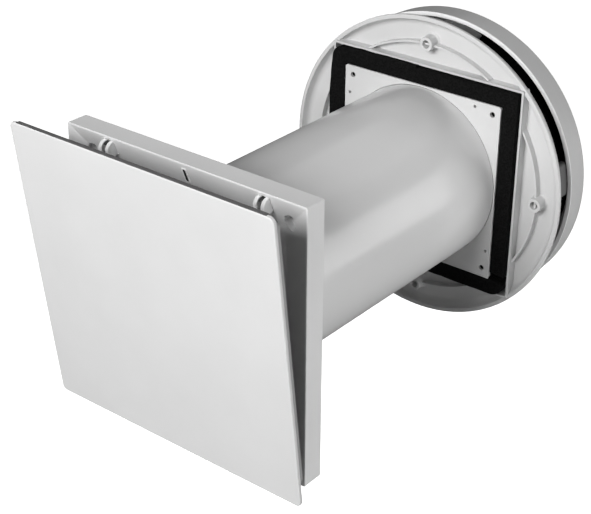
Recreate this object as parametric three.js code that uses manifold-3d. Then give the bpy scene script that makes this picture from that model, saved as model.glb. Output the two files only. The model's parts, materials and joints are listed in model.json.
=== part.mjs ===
// Through-wall room ventilation unit: a square room-side frame with a tilting cover, a round wall tube that
// holds fan and heat store, and a round outdoor hood with an open air gap all round.
//
// Units are millimetres, +Z is up. The origin lies on the tube's axis in the plane of the room-side wall face.
// +Y points through the wall to the outdoors, so the room is at -Y.

import * as THREE from 'three';
import { mergeVertices } from 'three/addons/utils/BufferGeometryUtils.js';
import Module from 'manifold-3d';

const wasm = await Module();
wasm.setup();

// ---------------------------------------------------------------- driving dimensions

const GAP = 0.3; // clearance between neighbouring solids
const ROUND = 48; // sides of a large circle
const SMALL_ROUND = 12; // sides of a small circle

const FRAME_SIDE = 231;
const FRAME_DEPTH = 19;
const FRAME_WALL = 2.2;
const FRAME_CORNER_R = 1.2;
const FRAME_LIP = 1.3; // flat front edge around the dished front
const DISH_DEPTH = 9.5; // how far the dished front falls back
const DISH_FLOOR_HALF = 90; // half side of the flat floor of the dish
const SCREW_POCKET_AT = 96.4; // distance of a wall screw pocket from each centre line
const SCREW_POCKET_R = 5.2;
const SCREW_HOLE_R = 2.3;

const UPPER_SHIFT = 1.2; // the window and the catches on the upper slope stand this far right of the centre
const WINDOW_AT = 104.1; // distance of the small window on the upper slope from the centre line
const WINDOW_HALF_WIDTH = 2.6;
const WINDOW_HALF_LENGTH = 7;
const WINDOW_DEPTH = 0.9;
const SLIT_HALF_WIDTH = 0.9;
const SLIT_HALF_LENGTH = 5.5;

const TUBE_R = 79.5;
const TUBE_WALL = 2.5;
const TUBE_START = -4; // the tube ends inside the frame's hollow back
const TUBE_END = 285;
const COLLAR_LENGTH = 21; // spigot of the frame inside the tube

const CLIP_X = 74.8; // catches and hinges stand this far either side of their middle
const CATCH_Y = -17.5;
const CATCH_Z = 105.5;
const CATCH_R = 6.2;
const CATCH_OPENING = [7, 6.5]; // how far a catch's opening in the slope reaches below and above its centre
const SPRING_R = 5.6;
const SPRING_INNER_R = 3.6; // the spring is an open ring, its mouth as high as its inside
const CHEEK = 3.2; // thickness of one cheek of a catch or hinge bracket
const CHEEK_AT = 3.5; // middle of a cheek from the middle of its pair

const HINGE_Y = -25;
const HINGE_Z = -101;
const COVER_TILT = THREE.MathUtils.degToRad(7); // how far the open cover leans into the room
const COVER_SIDE = 250.8;
const COVER_CORNER_R = 5;
const COVER_THICK = 3;
const COVER_REACH = 13.5; // front face of the cover ahead of the hinge axis
const COVER_DROP = 17.3; // lower edge of the cover below the hinge axis
const COVER_TOTAL_DEPTH = 8.5; // front face to the tray's rear rim
const TRAY_INSET = 2.7; // at the sides
const TRAY_TOP_INSET = 6.5;
const TRAY_SKIN = 1.4;
const COVER_SEAL = 1.2;
const REBATE_HEIGHT = 2; // the seal fills a rebate along the plate's upper edge
const REBATE_END = 6.5; // the rebate stops this far from each corner
const REBATE_FACE = 0.8; // plate left in front of the rebate

const FLANGE_SIDE = 162.5;
const FLANGE_Y = 284.3;
const FLANGE_THICK = 3;
const GASKET_SHEET = 3; // foam behind the flange plate
const RIB_INNER_HALF = 96.4;
const RIB_THICK = 2;
const RIB_Y = 289.3;

const BASE_R = 140;
const BASE_RIM_Y = 291.6;
const BASE_RIM_THICK = 3;
const BASE_RIM_LAND = 3.6;
const BASE_FLOOR_Y = 299;
const BASE_FLOOR_THICK = 2.5;
const BASE_HOLE_R = 76;
const BOSS_AT = 117;
const BOSS_R = 6.5;
const BOSS_HOLE_R = 3.5;
const BOSS_Y = 288.5;
const ARC_RIB_R = 116;
const ARC_RIB_Y = 292.6;

const HOOD_NEAR_R = 135.6;
const HOOD_FAR_R = 134.1;
const HOOD_WALL = 2.7;
const HOOD_NEAR_Y = 318.8;
const HOOD_FAR_Y = 345.6;
const HOOD_EDGE_R = 3;
const POST_COUNT = 5;
const POST_FIRST = THREE.MathUtils.degToRad(8.5);
const POST_INNER_R = 125.2;
const POST_OUTER_R = 135.2;
const POST_SCREW_R = 128; // the post's screw from the axis
const POST_LENGTH = 30; // along the rim
const SCREEN_R = 120;

// ---------------------------------------------------------------- shape helpers

function solidOf(geometry) {
  const bare = geometry.clone();
  bare.deleteAttribute('normal');
  bare.deleteAttribute('uv');
  const merged = mergeVertices(bare, 1e-4);
  const corners = merged.index.array;
  const triangles = [];
  for (let i = 0; i < corners.length; i += 3) {
    const [a, b, c] = [corners[i], corners[i + 1], corners[i + 2]];
    if (a !== b && b !== c && c !== a) triangles.push(a, b, c);
  }
  return new wasm.Manifold(new wasm.Mesh({
    numProp: 3,
    vertProperties: new Float32Array(merged.attributes.position.array),
    triVerts: new Uint32Array(triangles),
  }));
}

function geometryOf(solid) {
  const mesh = solid.getMesh();
  const geometry = new THREE.BufferGeometry();
  geometry.setAttribute('position', new THREE.BufferAttribute(mesh.vertProperties, 3));
  geometry.setIndex(new THREE.BufferAttribute(mesh.triVerts, 1));
  geometry.computeVertexNormals();
  return geometry;
}

// A box given by its lowest and highest corner.
function box(low, high) {
  const size = high.map((value, i) => value - low[i]);
  const geometry = new THREE.BoxGeometry(...size);
  geometry.translate(...low.map((value, i) => value + size[i] / 2));
  return solidOf(geometry);
}

// A disc or rod along Y.
function rodY(radius, y0, y1, { x = 0, z = 0, sides = ROUND } = {}) {
  const geometry = new THREE.CylinderGeometry(radius, radius, y1 - y0, sides);
  geometry.translate(x, (y0 + y1) / 2, z);
  return solidOf(geometry);
}

// A disc or rod along X, around the line y, z.
function rodX(radius, x0, x1, y, z, sides = SMALL_ROUND) {
  const geometry = new THREE.CylinderGeometry(radius, radius, x1 - x0, sides);
  geometry.rotateZ(Math.PI / 2);
  geometry.translate((x0 + x1) / 2, y, z);
  return solidOf(geometry);
}

// A body of revolution around Y. The profile is a closed list of [radius, y], counter-clockwise.
function turned(profile, sides = ROUND) {
  const points = [...profile, profile[0]].map(([r, y]) => new THREE.Vector2(r, y));
  return solidOf(new THREE.LatheGeometry(points, sides));
}

function ringY(outer, inner, y0, y1, sides = ROUND) {
  return turned([[inner, y0], [outer, y0], [outer, y1], [inner, y1]], sides);
}

// An outline in the X-Z plane, extruded from y0 to y1.
function prismY(shape, y0, y1, curveSegments = 2) {
  const geometry = new THREE.ExtrudeGeometry(shape, { depth: y1 - y0, bevelEnabled: false, curveSegments });
  geometry.rotateX(Math.PI / 2);
  geometry.translate(0, y1, 0);
  return solidOf(geometry);
}

// An outline in the Y-Z plane, extruded from x0 to x1.
function prismX(shape, x0, x1) {
  const geometry = new THREE.ExtrudeGeometry(shape, { depth: x1 - x0, bevelEnabled: false, curveSegments: 6 });
  geometry.rotateY(Math.PI / 2);
  geometry.rotateX(Math.PI / 2);
  geometry.translate(x0, 0, 0);
  return solidOf(geometry);
}

function roundedRectangle(x0, z0, x1, z1, r) {
  const shape = new THREE.Shape();
  shape.moveTo(x0 + r, z0);
  shape.lineTo(x1 - r, z0);
  shape.absarc(x1 - r, z0 + r, r, -Math.PI / 2, 0, false);
  shape.lineTo(x1, z1 - r);
  shape.absarc(x1 - r, z1 - r, r, 0, Math.PI / 2, false);
  shape.lineTo(x0 + r, z1);
  shape.absarc(x0 + r, z1 - r, r, Math.PI / 2, Math.PI, false);
  shape.lineTo(x0, z0 + r);
  shape.absarc(x0 + r, z0 + r, r, Math.PI, Math.PI * 1.5, false);
  return shape;
}

function roundedSquare(half, r) {
  return roundedRectangle(-half, -half, half, half, r);
}

// A square pyramid stump along Y, given by its half sides at y0 and y1.
function stump(half0, y0, half1, y1) {
  const geometry = new THREE.CylinderGeometry(half1 * Math.SQRT2, half0 * Math.SQRT2, y1 - y0, 4);
  geometry.rotateY(Math.PI / 4);
  geometry.translate(0, (y0 + y1) / 2, 0);
  return solidOf(geometry);
}

function joined(solids) {
  return solids.reduce((sum, next) => sum.add(next));
}

function cut(solid, tools) {
  return tools.reduce((rest, tool) => rest.subtract(tool), solid);
}

function aroundY(solid, angle) {
  return solid.rotate([0, THREE.MathUtils.radToDeg(angle), 0]);
}

// ---------------------------------------------------------------- materials

function plastic(color, roughness, metalness = 0) {
  return new THREE.MeshStandardMaterial({ color, roughness, metalness });
}

const COVER_WHITE = plastic(0xe6e6e6, 0.45);
const FRAME_WHITE = plastic(0xd8d8d8, 0.45);
const TUBE_WHITE = plastic(0xd2d2d2, 0.3);
const HOOD_WHITE = plastic(0xdedede, 0.4);
const LIGHT_GREY = plastic(0xb4b4b4, 0.5);
const DARK_GREY = plastic(0x6c6c6c, 0.8);
const CATCH_WHITE = plastic(0xf2f2f2, 0.4);
const BLACK_FOAM = plastic(0x141414, 0.95);
const BLACK_PLASTIC = plastic(0x1c1c1c, 0.6);
const FLEECE = plastic(0xc8ccd0, 1);
const CERAMIC = plastic(0xcfc4b2, 0.85);
const INSULATION = plastic(0x3c3f42, 0.9);
const STEEL = plastic(0xb0b2b4, 0.3, 1);
const COPPER = plastic(0xb06a3c, 0.4, 1);
const BOARD_GREEN = plastic(0x2f6b45, 0.6);

const unit = new THREE.Group();
const cover = new THREE.Group();
cover.position.set(0, HINGE_Y, HINGE_Z);
cover.rotation.x = COVER_TILT;
unit.add(cover);

function addPart(parent, name, solid, material) {
  const mesh = new THREE.Mesh(geometryOf(solid), material);
  mesh.name = name;
  parent.add(mesh);
}

// ---------------------------------------------------------------- room side

const FRAME_HALF = FRAME_SIDE / 2;
const FRAME_FRONT = -FRAME_DEPTH;
const DISH_FLOOR_Y = FRAME_FRONT + DISH_DEPTH;
const DISH_RIM_HALF = FRAME_HALF - FRAME_LIP;
const DISH_SLOPE = (DISH_RIM_HALF - DISH_FLOOR_HALF) / DISH_DEPTH; // inward travel per unit of depth
const DISH_SKIN = 2.4; // measured along Y
const TUBE_INNER_R = TUBE_R - TUBE_WALL;
const COLLAR_R = TUBE_INNER_R - 0.6;
const COLLAR_INNER_R = COLLAR_R - 2;
const BOARD_Y = -4;

// Middle of the left or right catch.
function catchX(side) {
  return UPPER_SHIFT + side * CLIP_X;
}

// Y of the dished front where it is `half` away from the centre line.
function dishY(half) {
  return FRAME_FRONT + (DISH_RIM_HALF - half) / DISH_SLOPE;
}

function roomFrame() {
  const over = 0.5;
  const dish = stump(DISH_RIM_HALF + over * DISH_SLOPE, FRAME_FRONT - over, DISH_FLOOR_HALF, DISH_FLOOR_Y);
  const skinFront = stump(
    DISH_RIM_HALF + DISH_SKIN * DISH_SLOPE, FRAME_FRONT, DISH_FLOOR_HALF, DISH_FLOOR_Y + DISH_SKIN,
  );
  const hollow = prismY(roundedSquare(FRAME_HALF - FRAME_WALL, 1), FRAME_FRONT + 2, 1).subtract(skinFront);
  const pocketAt = [-SCREW_POCKET_AT, SCREW_POCKET_AT];
  const pillars = [];
  const pockets = [];
  for (const x of pocketAt) {
    for (const z of pocketAt) {
      pillars.push(rodY(SCREW_POCKET_R + FRAME_WALL, dishY(SCREW_POCKET_AT) + 1, 0, { x, z, sides: 16 }));
      pockets.push(rodY(SCREW_POCKET_R, FRAME_FRONT - 1, -4, { x, z, sides: 16 }));
      pockets.push(rodY(SCREW_HOLE_R, FRAME_FRONT - 1, 1, { x, z, sides: SMALL_ROUND }));
    }
  }
  const boardPosts = [-22, 22].map((x) => rodY(3, -11.5, BOARD_Y - 1.6 - GAP, { x, z: -102, sides: 12 }));
  const collar = rodY(COLLAR_R, DISH_FLOOR_Y + 1, DISH_FLOOR_Y + DISH_SKIN + COLLAR_LENGTH);
  const openings = [rodY(COLLAR_INNER_R, FRAME_FRONT, COLLAR_LENGTH)];
  const [below, above] = CATCH_OPENING;
  for (const side of [-1, 1]) {
    const width = CHEEK_AT + CHEEK / 2 + GAP;
    const x = catchX(side);
    openings.push(box([x - width, FRAME_FRONT - 1, CATCH_Z - below], [x + width, -5, CATCH_Z + above]));
    const hinge = side * CLIP_X;
    openings.push(box([hinge - width, FRAME_FRONT - 1, HINGE_Z - 5], [hinge + width, -5, HINGE_Z + 5]));
  }
  const slot = slopeBlock(WINDOW_HALF_WIDTH + GAP, WINDOW_HALF_LENGTH + GAP, DISH_SKIN + 1);
  let frame = prismY(roundedSquare(FRAME_HALF, FRAME_CORNER_R), FRAME_FRONT, 0);
  frame = cut(frame, [dish, hollow]);
  // Trimming the pillars to the space behind the dish keeps the sloping front unbroken.
  frame = joined([frame, ...pillars.map((pillar) => pillar.subtract(dish)), ...boardPosts, collar]);
  return cut(frame, [...pockets, ...openings, slot]);
}

// A block centred on the upper slope's surface, with two faces along the slope.
function slopeBlock(halfWidth, halfLength, halfDepth) {
  const block = new THREE.BoxGeometry(2 * halfWidth, 2 * halfDepth, 2 * halfLength);
  block.rotateX(Math.atan(1 / DISH_SLOPE));
  block.translate(UPPER_SHIFT, dishY(WINDOW_AT), WINDOW_AT);
  return solidOf(block);
}

function windowBezel() {
  const block = slopeBlock(WINDOW_HALF_WIDTH, WINDOW_HALF_LENGTH, WINDOW_DEPTH);
  return block.subtract(slopeBlock(SLIT_HALF_WIDTH + GAP, SLIT_HALF_LENGTH + GAP, 3));
}

// Two round cheeks with a slot between them, on a foot behind the dished front.
function cheekPair(x, y, z, r, footY, pinR) {
  const pieces = [];
  for (const across of [-CHEEK_AT, CHEEK_AT]) {
    const x0 = x + across - CHEEK / 2;
    pieces.push(rodX(r, x0, x0 + CHEEK, y, z, 16));
    pieces.push(box([x0, y, z - r * 0.7], [x0 + CHEEK, footY, z + r * 0.7]));
  }
  const width = CHEEK_AT + CHEEK / 2;
  pieces.push(box([x - width, footY - 2.4, z - r * 0.7], [x + width, footY, z + r * 0.7]));
  const pair = joined(pieces);
  return pinR ? pair.subtract(rodX(pinR, x - width - 1, x + width + 1, y, z)) : pair;
}

// An open ring between the cheeks, with its mouth towards the room.
function catchSpring(side) {
  const x = catchX(side);
  const ring = rodX(SPRING_R, x - 1.5, x + 1.5, CATCH_Y, CATCH_Z, 24)
    .subtract(rodX(SPRING_INNER_R, x - 2, x + 2, CATCH_Y, CATCH_Z, 24));
  const h = SPRING_INNER_R;
  return ring.subtract(box([x - 2, CATCH_Y - SPRING_R - 1, CATCH_Z - h], [x + 2, CATCH_Y, CATCH_Z + h]));
}

addPart(unit, 'room_frame', roomFrame(), FRAME_WHITE);
addPart(unit, 'window_bezel', windowBezel(), CATCH_WHITE);
addPart(unit, 'window_lens', slopeBlock(SLIT_HALF_WIDTH, SLIT_HALF_LENGTH, 0.6), BLACK_PLASTIC);

for (const [side, word] of [[-1, 'left'], [1, 'right']]) {
  addPart(unit, `snap_catch_${word}`, cheekPair(catchX(side), CATCH_Y, CATCH_Z, CATCH_R, -6.4, 0), CATCH_WHITE);
  addPart(unit, `catch_spring_${word}`, catchSpring(side), BLACK_PLASTIC);
  addPart(unit, `hinge_bracket_${word}`, cheekPair(side * CLIP_X, HINGE_Y, HINGE_Z, 4.4, -6.4, 1.8), CATCH_WHITE);
}

// ---------------------------------------------------------------- cover, in its own closed, upright frame

const PLATE_BACK = -COVER_REACH + COVER_THICK;
const SEAL_FRONT = PLATE_BACK + GAP;
const TRAY_FRONT = SEAL_FRONT + COVER_SEAL + GAP;
const TRAY_BACK = -COVER_REACH + COVER_TOTAL_DEPTH;
const TRAY_FLOOR_BACK = TRAY_FRONT + TRAY_SKIN;
const COVER_TOP = COVER_SIDE - COVER_DROP;
const COVER_HALF = COVER_SIDE / 2;
const REBATE_HALF = COVER_HALF - REBATE_END;

function coverPlate() {
  const softness = 0.8;
  const outline = roundedRectangle(-COVER_HALF, -COVER_DROP, COVER_HALF, COVER_TOP, COVER_CORNER_R);
  const geometry = new THREE.ExtrudeGeometry(outline, {
    depth: COVER_THICK - softness,
    bevelThickness: softness,
    bevelSize: softness,
    bevelOffset: -softness,
    bevelSegments: 2,
    curveSegments: 3,
  });
  const plate = solidOf(geometry).intersect(
    box([-COVER_HALF - 1, -COVER_DROP - 1, -softness - 1], [COVER_HALF + 1, COVER_TOP + 1, COVER_THICK - softness]),
  );
  // The rounded edge is at the outline's low side, which faces the room.
  return plate.rotate([90, 0, 0]).mirror([0, 1, 0]).translate([0, -COVER_REACH + softness, 0]).subtract(box(
    [-REBATE_HALF, -COVER_REACH + REBATE_FACE, COVER_TOP - REBATE_HEIGHT], [REBATE_HALF, PLATE_BACK + 1, COVER_TOP + 1],
  ));
}

// A sheet behind the plate, with a lip that fills the rebate along the plate's upper edge.
function coverSeal() {
  const inset = TRAY_INSET - 1;
  const sheet = roundedRectangle(-COVER_HALF + inset, -1, COVER_HALF - inset, COVER_TOP - inset, COVER_CORNER_R - 1);
  const half = REBATE_HALF - GAP;
  const lipFront = -COVER_REACH + REBATE_FACE + GAP;
  const lipLow = COVER_TOP - REBATE_HEIGHT + GAP;
  return joined([
    prismY(sheet, SEAL_FRONT, SEAL_FRONT + COVER_SEAL),
    box([-half, SEAL_FRONT, lipLow - 1], [half, SEAL_FRONT + COVER_SEAL, COVER_TOP - 0.1]),
    box([-half, lipFront, lipLow], [half, SEAL_FRONT + 0.5, COVER_TOP - 0.1]),
  ]);
}

function trayOutline(skin) {
  return roundedRectangle(
    -COVER_HALF + TRAY_INSET + skin, skin, COVER_HALF - TRAY_INSET - skin, COVER_TOP - TRAY_TOP_INSET - skin,
    COVER_CORNER_R - 1,
  );
}

function coverTray() {
  const inside = prismY(trayOutline(TRAY_SKIN), TRAY_FLOOR_BACK, TRAY_BACK + 1);
  return prismY(trayOutline(0), TRAY_FRONT, TRAY_BACK).subtract(inside);
}

function snapStud(side) {
  const x = catchX(side);
  const z = CATCH_Z - HINGE_Z;
  const tip = CATCH_Y - HINGE_Y;
  const foot = TRAY_FLOOR_BACK + GAP;
  return joined([
    box([x - 1.3, foot, z - 3], [x + 1.3, tip, z + 3]),
    rodX(3, x - 1.3, x + 1.3, tip, z),
    box([x - 5, foot, z - 6], [x + 5, foot + 1.5, z + 6]),
  ]);
}

function hingeArm(side) {
  const x = side * CLIP_X;
  const foot = TRAY_FLOOR_BACK + GAP;
  const gusset = new THREE.Shape([
    new THREE.Vector2(foot, 2), new THREE.Vector2(0, 2), new THREE.Vector2(2.5, 3.3), new THREE.Vector2(foot, 10),
  ]);
  const heel = box([x - 1.5, 0, -4], [x + 1.5, 6.4, -1]);
  const arm = joined([
    prismX(gusset, x - 1.5, x + 1.5),
    rodX(4.2, x - 1.5, x + 1.5, 0, 0),
    box([x - 5, foot, TRAY_SKIN + GAP], [x + 5, foot + 1.5, 13]),
    heel,
  ]);
  return arm.subtract(rodX(1.8, x - 2, x + 2, 0, 0));
}

addPart(cover, 'cover_plate', coverPlate(), COVER_WHITE);
addPart(cover, 'cover_seal', coverSeal(), DARK_GREY);
addPart(cover, 'cover_tray', coverTray(), LIGHT_GREY);
for (const [side, word] of [[-1, 'left'], [1, 'right']]) {
  const x = side * CLIP_X;
  addPart(cover, `snap_stud_${word}`, snapStud(side), LIGHT_GREY);
  addPart(cover, `hinge_arm_${word}`, hingeArm(side), LIGHT_GREY);
  addPart(cover, `hinge_pin_${word}`, rodX(1.5, x - 6.4, x + 6.4, 0, 0), STEEL);
}

// ---------------------------------------------------------------- wall tube and what it holds

const LINER_R = TUBE_INNER_R - 0.5; // whatever slides into the tube
const FILTER_R = COLLAR_INNER_R - 0.6;
const FAN_START = 16;
const FAN_LENGTH = 50;
const FAN_BORE_R = 73.2;
const BLADE_COUNT = 7;
const HUB_R = 30;
const HUB_FRONT = 27;
const HUB_BACK = 55;
const BLADE_Y = 42.5;
const MOTOR_PLATE_Y = 57;
const SHAFT_R = 2.5;
const VANE_START = FAN_START + FAN_LENGTH + 2;
const VANE_LENGTH = 22;
const VANE_COUNT = 8;
const SHELL_START = VANE_START + VANE_LENGTH + 2;
const SHELL_END = 272;
const CORE_R = 70;
const CORE_LENGTH = 150;
const CORE_FILTER = 6;
const CELL_PITCH = 15.5;
const CELL_SIDE = 12.6;

function filterHolder() {
  const ring = ringY(FILTER_R, FILTER_R - 5, DISH_FLOOR_Y, DISH_FLOOR_Y + 5);
  const bars = [];
  for (const at of [-44, -22, 0, 22, 44]) {
    const reach = Math.sqrt((FILTER_R - 3) ** 2 - at ** 2);
    bars.push(box([at - 1, DISH_FLOOR_Y, -reach], [at + 1, DISH_FLOOR_Y + 3, reach]));
  }
  const reach = FILTER_R - 3;
  bars.push(box([-reach, DISH_FLOOR_Y, -1], [reach, DISH_FLOOR_Y + 3, 1]));
  const tab = box([-9, DISH_FLOOR_Y - 6, -1.2], [9, DISH_FLOOR_Y + 1, 1.2]);
  return joined([ring, ...bars, tab]);
}

// A curved blade that stands out along +X, pitched so that it drives air along Y.
function blade({ inner, outer, chord, thick, pitch, camber, y }) {
  const angle = THREE.MathUtils.degToRad(pitch);
  const profile = [];
  for (const [face, stations] of [[1, [-0.5, -0.18, 0.18, 0.5]], [-1, [0.5, 0.18, -0.18, -0.5]]]) {
    for (const station of stations) {
      const along = station * chord;
      const bow = camber * (1 - (2 * station) ** 2) + (face * thick) / 2;
      const axial = y + along * Math.sin(angle) + bow * Math.cos(angle);
      profile.push(new THREE.Vector2(axial, along * Math.cos(angle) - bow * Math.sin(angle)));
    }
  }
  return prismX(new THREE.Shape(profile), inner, outer);
}

function impeller() {
  const hub = turned([
    [SHAFT_R + GAP, HUB_FRONT], [HUB_R - 4, HUB_FRONT], [HUB_R, HUB_FRONT + 4], [HUB_R, HUB_BACK],
    [HUB_R - 3, HUB_BACK], [HUB_R - 3, HUB_FRONT + 6], [SHAFT_R + 4, HUB_FRONT + 6], [SHAFT_R + GAP, HUB_FRONT + 6],
  ], 32);
  const one = blade({ inner: HUB_R - 2.8, outer: 74, chord: 30, thick: 1.8, pitch: 36, camber: 3, y: BLADE_Y })
    .intersect(rodY(71.6, HUB_FRONT, HUB_BACK));
  const blades = [];
  for (let i = 0; i < BLADE_COUNT; i += 1) blades.push(aroundY(one, (i * 2 * Math.PI) / BLADE_COUNT));
  return joined([hub, ...blades]);
}

function fanHousing() {
  const ring = ringY(LINER_R, FAN_BORE_R, FAN_START, FAN_START + FAN_LENGTH);
  const plate = rodY(26, MOTOR_PLATE_Y, MOTOR_PLATE_Y + 3, { sides: 32 });
  const bearingTube = rodY(9.2, 34, MOTOR_PLATE_Y + 1, { sides: 16 });
  const struts = [];
  for (let i = 0; i < 4; i += 1) {
    const strut = box([20, MOTOR_PLATE_Y, -2.5], [FAN_BORE_R + 1.5, MOTOR_PLATE_Y + 5, 2.5]);
    struts.push(aroundY(strut, Math.PI / 4 + (i * Math.PI) / 2));
  }
  return joined([ring, plate, bearingTube, ...struts]).subtract(rodY(7, 30, MOTOR_PLATE_Y + 6, { sides: 16 }));
}

function guideVanes() {
  const ring = ringY(LINER_R, FAN_BORE_R, VANE_START, VANE_START + VANE_LENGTH);
  const hub = ringY(24, 21, VANE_START, VANE_START + VANE_LENGTH, 32);
  const y = VANE_START + VANE_LENGTH / 2;
  const one = blade({ inner: 22.5, outer: FAN_BORE_R + 1, chord: 20, thick: 1.6, pitch: 100, camber: 2.5, y });
  const vanes = [];
  for (let i = 0; i < VANE_COUNT; i += 1) vanes.push(aroundY(one, (i * 2 * Math.PI) / VANE_COUNT));
  return joined([ring, hub, ...vanes]);
}

function insulationHalf(upper) {
  const sweep = Math.asin(0.2 / LINER_R);
  const shape = new THREE.Shape();
  shape.absarc(0, 0, LINER_R, sweep, Math.PI - sweep, false);
  shape.absarc(0, 0, CORE_R + 0.5, Math.PI - sweep, sweep, true);
  const half = prismY(shape, SHELL_START, SHELL_END, 12);
  return upper ? half : half.rotate([0, 180, 0]);
}

// Ceramic block with square through channels, all those that lie wholly inside its rim.
function heatCore(y0, y1) {
  const h = CELL_SIDE / 2;
  const channel = box([-h, y0 - 1, -h], [h, y1 + 1, h]);
  const channels = [];
  const count = Math.floor(CORE_R / CELL_PITCH);
  for (let column = -count; column <= count; column += 1) {
    for (let row = -count; row <= count; row += 1) {
      const x = column * CELL_PITCH;
      const z = row * CELL_PITCH;
      if (Math.hypot(Math.abs(x) + h, Math.abs(z) + h) < CORE_R - 1.5) channels.push(channel.translate([x, 0, z]));
    }
  }
  return cut(rodY(CORE_R, y0, y1), channels);
}

function flangePlate() {
  const shape = roundedSquare(FLANGE_SIDE / 2, 2.5);
  const plate = prismY(shape, FLANGE_Y, FLANGE_Y + FLANGE_THICK);
  const hole = (radius, x, z, sides) => rodY(radius, FLANGE_Y - 1, FLANGE_Y + FLANGE_THICK + 1, { x, z, sides });
  const holes = [hole(TUBE_R + GAP, 0, 0, ROUND)];
  // Each corner has one large and one small hole, a quarter turn on from the corner before.
  for (let quarter = 0; quarter < 4; quarter += 1) {
    holes.push(aroundY(hole(2.5, 73, 73, 12), (quarter * Math.PI) / 2));
    holes.push(aroundY(hole(1.3, 55.5, 76, 8), (quarter * Math.PI) / 2));
  }
  return cut(plate, holes);
}

const CORE_START = SHELL_START + CORE_FILTER + 2;

addPart(unit, 'tube_seal', ringY(TUBE_R, TUBE_INNER_R, DISH_FLOOR_Y + DISH_SKIN + GAP, TUBE_START - GAP), BLACK_FOAM);
addPart(unit, 'wall_tube', ringY(TUBE_R, TUBE_INNER_R, TUBE_START, TUBE_END), TUBE_WHITE);
addPart(unit, 'flange_plate', flangePlate(), HOOD_WHITE);
addPart(unit, 'filter_holder', filterHolder(), LIGHT_GREY);
addPart(unit, 'room_filter', rodY(FILTER_R, DISH_FLOOR_Y + 5 + GAP, 8), FLEECE);
addPart(unit, 'fan_housing', fanHousing(), BLACK_PLASTIC);
addPart(unit, 'motor_stator', ringY(22.6, 9.5, 38, 54, 32), COPPER);
addPart(unit, 'bearing_front', ringY(6.7, SHAFT_R + GAP, 35, 40, SMALL_ROUND), STEEL);
addPart(unit, 'bearing_rear', ringY(6.7, SHAFT_R + GAP, 50, 55, SMALL_ROUND), STEEL);
addPart(unit, 'impeller', impeller(), BLACK_PLASTIC);
addPart(unit, 'motor_shaft', rodY(SHAFT_R, HUB_FRONT + 0.5, MOTOR_PLATE_Y + 2, { sides: SMALL_ROUND }), STEEL);
addPart(unit, 'rotor_magnet', ringY(HUB_R - 3.6, 23.6, 37, 54, 32), INSULATION);
addPart(unit, 'guide_vanes', guideVanes(), BLACK_PLASTIC);
addPart(unit, 'insulation_upper', insulationHalf(true), INSULATION);
addPart(unit, 'insulation_lower', insulationHalf(false), INSULATION);
addPart(unit, 'core_filter_room', rodY(CORE_R, SHELL_START + 1, SHELL_START + 1 + CORE_FILTER), FLEECE);
addPart(unit, 'heat_core', heatCore(CORE_START, CORE_START + CORE_LENGTH), CERAMIC);
addPart(
  unit, 'core_filter_outdoor',
  rodY(CORE_R, CORE_START + CORE_LENGTH + 1, CORE_START + CORE_LENGTH + 1 + CORE_FILTER), FLEECE,
);

// ---------------------------------------------------------------- electronics in the hollow lower frame

addPart(unit, 'control_board', cut(box([-30, BOARD_Y - 1.6, -111], [30, BOARD_Y, -93]), [
  rodY(1.6, BOARD_Y - 3, BOARD_Y + 1, { x: -22, z: -102, sides: 12 }),
  rodY(1.6, BOARD_Y - 3, BOARD_Y + 1, { x: 22, z: -102, sides: 12 }),
]), BOARD_GREEN);
addPart(unit, 'terminal_block', box([-12, BOARD_Y + GAP, -107], [12, -0.4, -97]), BLACK_PLASTIC);

// ---------------------------------------------------------------- outdoor side

const RIB_OUTER_HALF = RIB_INNER_HALF + RIB_THICK;
const BASE_BACK = BASE_FLOOR_Y + BASE_FLOOR_THICK;
const HOOD_CEILING = HOOD_FAR_Y - HOOD_WALL;

// A strip between flange plate and rib, on a sheet that lies behind the flange plate.
function gasket() {
  const outer = prismY(roundedSquare(RIB_INNER_HALF - GAP, 8), FLANGE_Y, BASE_FLOOR_Y - GAP);
  const inner = prismY(roundedSquare(FLANGE_SIDE / 2 + GAP, 1), FLANGE_Y - 1, BASE_FLOOR_Y);
  const joint = box([FLANGE_SIDE / 2 - 1, FLANGE_Y - 1, -84], [RIB_INNER_HALF + 1, BASE_FLOOR_Y, -83.2]);
  const sheetFront = FLANGE_Y + FLANGE_THICK + GAP;
  const sheet = prismY(roundedSquare(FLANGE_SIDE / 2 + 1, 1), sheetFront, sheetFront + GASKET_SHEET)
    .subtract(rodY(TUBE_R + GAP, FLANGE_Y, BASE_FLOOR_Y));
  return cut(outer, [inner, joint]).add(sheet);
}

// A bar that follows a circle around the axis and has round ends.
function arcBar(inner, outer, length) {
  const end = (outer - inner) / 2;
  const middle = (inner + outer) / 2;
  const sweep = (length / 2 - end) / middle;
  const shape = new THREE.Shape();
  shape.absarc(0, 0, outer, -sweep, sweep, false);
  shape.absarc(middle * Math.cos(sweep), middle * Math.sin(sweep), end, sweep, sweep + Math.PI, false);
  shape.absarc(0, 0, inner, sweep, -sweep, true);
  shape.absarc(middle * Math.cos(sweep), -middle * Math.sin(sweep), end, Math.PI - sweep, 2 * Math.PI - sweep, false);
  return shape;
}

// A broad foot carries the hood's rim, and a narrower pillar inside the hood takes its screw.
function hoodPost(index) {
  const foot = prismY(arcBar(POST_INNER_R, POST_OUTER_R, POST_LENGTH), BASE_BACK - 0.5, HOOD_NEAR_Y - GAP, 3);
  const pillar = prismY(arcBar(POST_INNER_R, HOOD_FAR_R - HOOD_WALL - 0.8, 12), BASE_BACK, HOOD_CEILING - GAP, 2);
  return aroundY(foot.add(pillar), -postAngle(index));
}

// Posts are counted anticlockwise from +X, seen from the room.
function postAngle(index) {
  return POST_FIRST + (index * 2 * Math.PI) / POST_COUNT;
}

function postCentre(index) {
  const angle = postAngle(index);
  return { x: POST_SCREW_R * Math.cos(angle), z: POST_SCREW_R * Math.sin(angle) };
}

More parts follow.
